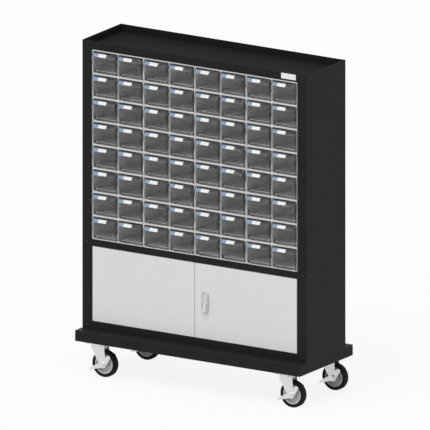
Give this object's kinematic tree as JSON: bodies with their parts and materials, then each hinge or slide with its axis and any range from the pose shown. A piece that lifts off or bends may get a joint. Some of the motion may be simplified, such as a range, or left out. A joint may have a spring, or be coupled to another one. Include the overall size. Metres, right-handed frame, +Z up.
{
  "type": "small parts drawer cabinet",
  "caption": "Black steel cabinet on braked swivel casters: a grid of clear small parts drawers above a two-door cupboard with a locking handle, and an open tray on top.",
  "frame": {"origin": "on the floor, under the middle of the cabinet", "axes": "+X to the right, +Y to the back, +Z up; the drawers and doors face -Y"},
  "size_m": [1.2052, 0.456, 1.5598],
  "materials": {
    "black_powder_coat": "satin powder coat",
    "black_screw": "black zinc",
    "pale_powder_coat": "satin powder coat",
    "housing_plastic": "moulded",
    "clear_plastic": "clear moulded",
    "blank_plate": "plain",
    "zinc_steel": "bright zinc",
    "catch_plastic": "moulded",
    "handle_plastic": "moulded",
    "lock_chrome": "polished",
    "hub_plastic": "moulded",
    "tyre_rubber": "matte"
  },
  "bodies": {
    "cabinet": {"side_panel_left": "black_powder_coat", "side_panel_right": "black_powder_coat", "back_panel": "black_powder_coat", "top_tray": "black_powder_coat", "middle_shelf": "black_powder_coat", "cupboard_floor": "black_powder_coat", "base_pan": "black_powder_coat", "stack_guides": "black_powder_coat", "caster_channels": "black_powder_coat", "carcass_screws": "black_screw", "drawer_housings": "housing_plastic", "closed_drawers": "clear_plastic", "blank_plate": "blank_plate", "door_pivot_pins": "zinc_steel", "caster_plates": "zinc_steel", "caster_bolts": "zinc_steel", "door_catches": "catch_plastic"},
    "door_left": {"door_left": "pale_powder_coat"},
    "door_right": {"door_right": "pale_powder_coat", "handle_housing": "handle_plastic"},
    "handle_lever": {"handle_lever": "handle_plastic"},
    "lock": {"lock_barrel": "lock_chrome"},
    "caster_front_left_swivel": {"caster_front_left_fork": "zinc_steel"},
    "caster_front_left_wheel": {"caster_front_left_hub": "hub_plastic", "caster_front_left_tyre": "tyre_rubber"},
    "caster_front_left_brake": {"caster_front_left_brake_pedal": "zinc_steel"},
    "caster_front_right_swivel": {"caster_front_right_fork": "zinc_steel"},
    "caster_front_right_wheel": {"caster_front_right_hub": "hub_plastic", "caster_front_right_tyre": "tyre_rubber"},
    "caster_front_right_brake": {"caster_front_right_brake_pedal": "zinc_steel"},
    "caster_rear_left_swivel": {"caster_rear_left_fork": "zinc_steel"},
    "caster_rear_left_wheel": {"caster_rear_left_hub": "hub_plastic", "caster_rear_left_tyre": "tyre_rubber"},
    "caster_rear_left_brake": {"caster_rear_left_brake_pedal": "zinc_steel"},
    "caster_rear_right_swivel": {"caster_rear_right_fork": "zinc_steel"},
    "caster_rear_right_wheel": {"caster_rear_right_hub": "hub_plastic", "caster_rear_right_tyre": "tyre_rubber"},
    "caster_rear_right_brake": {"caster_rear_right_brake_pedal": "zinc_steel"},
    "drawer_row_1_column_2": {"drawer_row_1_column_2": "clear_plastic"},
    "drawer_row_1_column_5": {"drawer_row_1_column_5": "clear_plastic"},
    "drawer_row_1_column_8": {"drawer_row_1_column_8": "clear_plastic"},
    "drawer_row_2_column_1": {"drawer_row_2_column_1": "clear_plastic"},
    "drawer_row_2_column_4": {"drawer_row_2_column_4": "clear_plastic"},
    "drawer_row_2_column_7": {"drawer_row_2_column_7": "clear_plastic"},
    "drawer_row_3_column_3": {"drawer_row_3_column_3": "clear_plastic"},
    "drawer_row_3_column_6": {"drawer_row_3_column_6": "clear_plastic"},
    "drawer_row_4_column_2": {"drawer_row_4_column_2": "clear_plastic"},
    "drawer_row_4_column_5": {"drawer_row_4_column_5": "clear_plastic"},
    "drawer_row_4_column_8": {"drawer_row_4_column_8": "clear_plastic"},
    "drawer_row_5_column_1": {"drawer_row_5_column_1": "clear_plastic"},
    "drawer_row_5_column_4": {"drawer_row_5_column_4": "clear_plastic"},
    "drawer_row_5_column_7": {"drawer_row_5_column_7": "clear_plastic"},
    "drawer_row_6_column_3": {"drawer_row_6_column_3": "clear_plastic"},
    "drawer_row_6_column_6": {"drawer_row_6_column_6": "clear_plastic"},
    "drawer_row_7_column_2": {"drawer_row_7_column_2": "clear_plastic"},
    "drawer_row_7_column_5": {"drawer_row_7_column_5": "clear_plastic"},
    "drawer_row_7_column_8": {"drawer_row_7_column_8": "clear_plastic"},
    "drawer_row_8_column_1": {"drawer_row_8_column_1": "clear_plastic"},
    "drawer_row_8_column_4": {"drawer_row_8_column_4": "clear_plastic"},
    "drawer_row_8_column_7": {"drawer_row_8_column_7": "clear_plastic"}
  },
  "joints": [
    {"name": "door_left_hinge", "type": "hinge", "parent": "cabinet", "child": "door_left", "pos_m": [-0.5315, -0.156, 0.4228], "axis": [0, 0, -1], "range_deg": [0, 110]},
    {"name": "door_right_hinge", "type": "hinge", "parent": "cabinet", "child": "door_right", "pos_m": [0.5315, -0.156, 0.4228], "axis": [0, 0, 1], "range_deg": [0, 110]},
    {"name": "handle_lever_hinge", "type": "hinge", "parent": "door_right", "child": "handle_lever", "pos_m": [0.059, -0.1715, 0.4208], "axis": [-1, 0, 0], "range_deg": [0, 30], "stiffness_Nm_per_rad": 0.05},
    {"name": "lock_turn", "type": "hinge", "parent": "door_right", "child": "lock", "pos_m": [0.059, -0.165, 0.4383], "axis": [0, 1, 0], "range_deg": [0, 90]},
    {"name": "caster_front_left_swivel_turn", "type": "hinge", "parent": "cabinet", "child": "caster_front_left_swivel", "pos_m": [-0.5025, -0.1788, 0.1598], "axis": [0, 0, 1], "continuous": true},
    {"name": "caster_front_left_wheel_roll", "type": "hinge", "parent": "caster_front_left_swivel", "child": "caster_front_left_wheel", "pos_m": [-0.468, -0.1788, 0.0625], "axis": [0, 1, 0], "continuous": true},
    {"name": "caster_front_left_brake_press", "type": "hinge", "parent": "caster_front_left_swivel", "child": "caster_front_left_brake", "pos_m": [-0.468, -0.1788, 0.0625], "axis": [0, -1, 0], "range_deg": [0, 10]},
    {"name": "caster_front_right_swivel_turn", "type": "hinge", "parent": "cabinet", "child": "caster_front_right_swivel", "pos_m": [0.5025, -0.1788, 0.1598], "axis": [0, 0, 1], "continuous": true},
    {"name": "caster_front_right_wheel_roll", "type": "hinge", "parent": "caster_front_right_swivel", "child": "caster_front_right_wheel", "pos_m": [0.537, -0.1788, 0.0625], "axis": [0, 1, 0], "continuous": true},
    {"name": "caster_front_right_brake_press", "type": "hinge", "parent": "caster_front_right_swivel", "child": "caster_front_right_brake", "pos_m": [0.537, -0.1788, 0.0625], "axis": [0, -1, 0], "range_deg": [0, 10]},
    {"name": "caster_rear_left_swivel_turn", "type": "hinge", "parent": "cabinet", "child": "caster_rear_left_swivel", "pos_m": [-0.5025, 0.1788, 0.1598], "axis": [0, 0, 1], "continuous": true},
    {"name": "caster_rear_left_wheel_roll", "type": "hinge", "parent": "caster_rear_left_swivel", "child": "caster_rear_left_wheel", "pos_m": [-0.468, 0.1788, 0.0625], "axis": [0, 1, 0], "continuous": true},
    {"name": "caster_rear_left_brake_press", "type": "hinge", "parent": "caster_rear_left_swivel", "child": "caster_rear_left_brake", "pos_m": [-0.468, 0.1788, 0.0625], "axis": [0, -1, 0], "range_deg": [0, 10]},
    {"name": "caster_rear_right_swivel_turn", "type": "hinge", "parent": "cabinet", "child": "caster_rear_right_swivel", "pos_m": [0.5025, 0.1788, 0.1598], "axis": [0, 0, 1], "continuous": true},
    {"name": "caster_rear_right_wheel_roll", "type": "hinge", "parent": "caster_rear_right_swivel", "child": "caster_rear_right_wheel", "pos_m": [0.537, 0.1788, 0.0625], "axis": [0, 1, 0], "continuous": true},
    {"name": "caster_rear_right_brake_press", "type": "hinge", "parent": "caster_rear_right_swivel", "child": "caster_rear_right_brake", "pos_m": [0.537, 0.1788, 0.0625], "axis": [0, -1, 0], "range_deg": [0, 10]},
    {"name": "drawer_row_1_column_2_slide", "type": "slide", "parent": "cabinet", "child": "drawer_row_1_column_2", "axis": [0, -1, 0], "range_m": [0, 0.22]},
    {"name": "drawer_row_1_column_5_slide", "type": "slide", "parent": "cabinet", "child": "drawer_row_1_column_5", "axis": [0, -1, 0], "range_m": [0, 0.22]},
    {"name": "drawer_row_1_column_8_slide", "type": "slide", "parent": "cabinet", "child": "drawer_row_1_column_8", "axis": [0, -1, 0], "range_m": [0, 0.22]},
    {"name": "drawer_row_2_column_1_slide", "type": "slide", "parent": "cabinet", "child": "drawer_row_2_column_1", "axis": [0, -1, 0], "range_m": [0, 0.22]},
    {"name": "drawer_row_2_column_4_slide", "type": "slide", "parent": "cabinet", "child": "drawer_row_2_column_4", "axis": [0, -1, 0], "range_m": [0, 0.22]},
    {"name": "drawer_row_2_column_7_slide", "type": "slide", "parent": "cabinet", "child": "drawer_row_2_column_7", "axis": [0, -1, 0], "range_m": [0, 0.22]},
    {"name": "drawer_row_3_column_3_slide", "type": "slide", "parent": "cabinet", "child": "drawer_row_3_column_3", "axis": [0, -1, 0], "range_m": [0, 0.22]},
    {"name": "drawer_row_3_column_6_slide", "type": "slide", "parent": "cabinet", "child": "drawer_row_3_column_6", "axis": [0, -1, 0], "range_m": [0, 0.22]},
    {"name": "drawer_row_4_column_2_slide", "type": "slide", "parent": "cabinet", "child": "drawer_row_4_column_2", "axis": [0, -1, 0], "range_m": [0, 0.22]},
    {"name": "drawer_row_4_column_5_slide", "type": "slide", "parent": "cabinet", "child": "drawer_row_4_column_5", "axis": [0, -1, 0], "range_m": [0, 0.22]},
    {"name": "drawer_row_4_column_8_slide", "type": "slide", "parent": "cabinet", "child": "drawer_row_4_column_8", "axis": [0, -1, 0], "range_m": [0, 0.22]},
    {"name": "drawer_row_5_column_1_slide", "type": "slide", "parent": "cabinet", "child": "drawer_row_5_column_1", "axis": [0, -1, 0], "range_m": [0, 0.22]},
    {"name": "drawer_row_5_column_4_slide", "type": "slide", "parent": "cabinet", "child": "drawer_row_5_column_4", "axis": [0, -1, 0], "range_m": [0, 0.22]},
    {"name": "drawer_row_5_column_7_slide", "type": "slide", "parent": "cabinet", "child": "drawer_row_5_column_7", "axis": [0, -1, 0], "range_m": [0, 0.22]},
    {"name": "drawer_row_6_column_3_slide", "type": "slide", "parent": "cabinet", "child": "drawer_row_6_column_3", "axis": [0, -1, 0], "range_m": [0, 0.22]},
    {"name": "drawer_row_6_column_6_slide", "type": "slide", "parent": "cabinet", "child": "drawer_row_6_column_6", "axis": [0, -1, 0], "range_m": [0, 0.22]},
    {"name": "drawer_row_7_column_2_slide", "type": "slide", "parent": "cabinet", "child": "drawer_row_7_column_2", "axis": [0, -1, 0], "range_m": [0, 0.22]},
    {"name": "drawer_row_7_column_5_slide", "type": "slide", "parent": "cabinet", "child": "drawer_row_7_column_5", "axis": [0, -1, 0], "range_m": [0, 0.22]},
    {"name": "drawer_row_7_column_8_slide", "type": "slide", "parent": "cabinet", "child": "drawer_row_7_column_8", "axis": [0, -1, 0], "range_m": [0, 0.22]},
    {"name": "drawer_row_8_column_1_slide", "type": "slide", "parent": "cabinet", "child": "drawer_row_8_column_1", "axis": [0, -1, 0], "range_m": [0, 0.22]},
    {"name": "drawer_row_8_column_4_slide", "type": "slide", "parent": "cabinet", "child": "drawer_row_8_column_4", "axis": [0, -1, 0], "range_m": [0, 0.22]},
    {"name": "drawer_row_8_column_7_slide", "type": "slide", "parent": "cabinet", "child": "drawer_row_8_column_7", "axis": [0, -1, 0], "range_m": [0, 0.22]}
  ]
}
